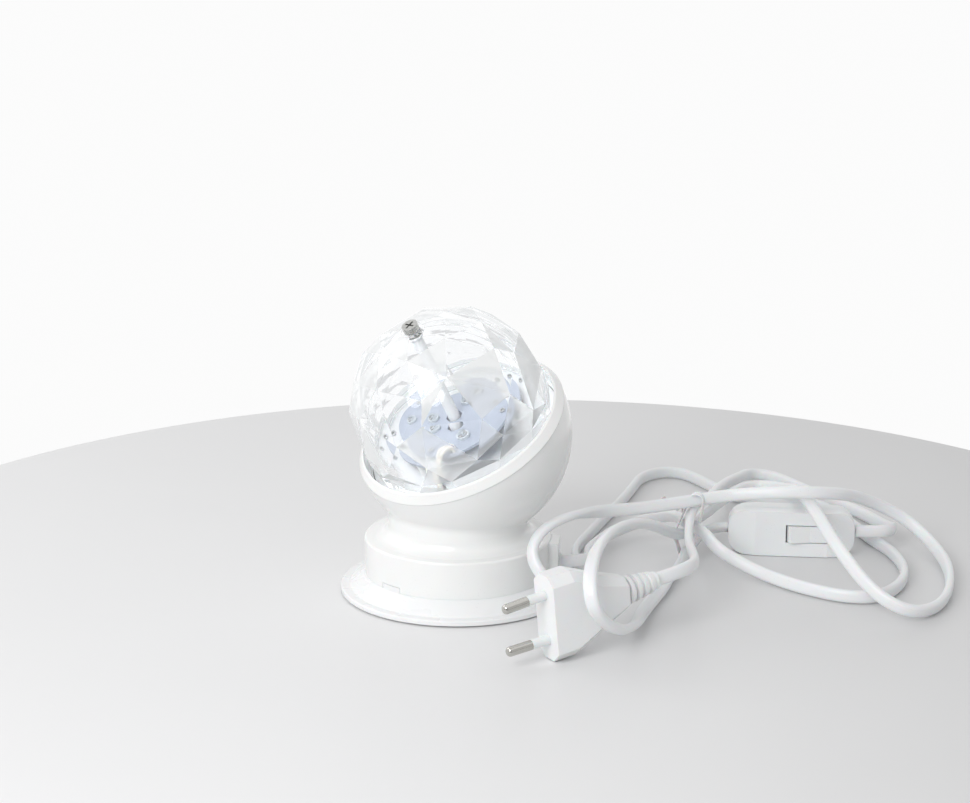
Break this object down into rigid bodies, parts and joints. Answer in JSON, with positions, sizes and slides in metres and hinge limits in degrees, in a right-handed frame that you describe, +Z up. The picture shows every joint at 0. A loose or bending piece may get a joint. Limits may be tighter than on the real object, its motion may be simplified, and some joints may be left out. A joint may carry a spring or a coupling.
{
  "type": "disco light",
  "caption": "Small white disco light: a clear faceted dome turns on a leaning round head, with a long white mains cord, in-line switch and two-pin plug.",
  "frame": {"origin": "on the table under the middle of the round foot", "axes": "+Z up, the dome leans towards -Y, the cord leaves the drum towards +X +Y"},
  "size_m": [0.2183, 0.2778, 0.1223],
  "materials": {
    "white_abs": "gloss",
    "base_white": "satin",
    "clear_plastic": "clear",
    "clear_lens": "clear",
    "rubber_grey": "matte",
    "nickel": "polished",
    "steel": "plain",
    "brass": "satin",
    "white_matte": "matte",
    "board_white": "solder mask",
    "board_green": "solder mask",
    "emitter_yellow": "gloss",
    "copper": "enamelled",
    "nylon_black": "matte",
    "nylon_natural": "matte",
    "magnet": "dark",
    "part_yellow": "satin",
    "part_blue": "satin",
    "core_brown": "satin",
    "lead_cream": "satin",
    "cord_white": "satin",
    "switch_white": "satin",
    "tie_white": "satin",
    "sleeve_white": "satin",
    "chrome": "polished"
  },
  "bodies": {
    "lamp": {"base_plate": "base_white", "rubber_feet": "rubber_grey", "housing": "white_abs", "rim_ring": "white_abs", "deck": "white_matte", "deck_screws": "steel", "light_board": "board_white", "board_screws": "steel", "emitters": "emitter_yellow", "emitter_lenses": "clear_lens", "motor_case": "steel", "motor_cover": "steel", "motor_screws": "steel", "coil_bobbin": "nylon_black", "coil_winding": "copper", "gear_plate": "steel", "gear_pins": "steel", "driver_board": "board_green", "driver_screws": "steel", "capacitors": "part_yellow", "terminal_block": "part_blue", "light_leads": "lead_cream", "motor_leads": "lead_cream", "mains_cores": "core_brown", "cord_clamp": "white_matte", "clamp_screws": "steel", "cord_bush": "white_matte", "cord_lamp_side": "cord_white", "cord_plug_side": "cord_white", "cord_tie": "tie_white", "switch_front": "switch_white", "switch_back": "switch_white", "switch_screws": "steel", "switch_contacts": "brass", "switch_cores": "core_brown", "rocker_pin": "steel", "plug_body": "switch_white", "pin_sleeves": "sleeve_white", "plug_pins": "chrome", "plug_boot": "switch_white"},
    "dome_head": {"dome": "clear_plastic", "dome_post": "white_matte", "dome_screw": "nickel", "output_gear": "nylon_natural", "output_shaft": "steel"},
    "idler": {"idler_gear": "nylon_natural"},
    "rotor": {"rotor_magnet": "magnet", "rotor_pinion": "nylon_natural"},
    "rocker_body": {"rocker": "switch_white"}
  },
  "joints": [
    {"name": "dome_spin", "type": "hinge", "parent": "lamp", "child": "dome_head", "pos_m": [0, 0, 0.0728], "axis": [0, -0.515, 0.8572], "continuous": true},
    {"name": "idler_spin", "type": "hinge", "parent": "lamp", "child": "idler", "pos_m": [0.01215, 0, 0.0728], "axis": [0, -0.515, 0.8572], "continuous": true},
    {"name": "rotor_spin", "type": "hinge", "parent": "lamp", "child": "rotor", "pos_m": [0, 0, 0.0728], "axis": [0, -0.515, 0.8572], "continuous": true},
    {"name": "switch_rocker", "type": "hinge", "parent": "lamp", "child": "rocker_body", "pos_m": [0.0836, 0.13792, 0.0105], "axis": [0, 0, 1], "range_deg": [-16, 0]}
  ],
  "couplings": [
    {"joint": "idler_spin", "follows": "dome_spin", "ratio": -4.4},
    {"joint": "rotor_spin", "follows": "dome_spin", "ratio": 22}
  ]
}
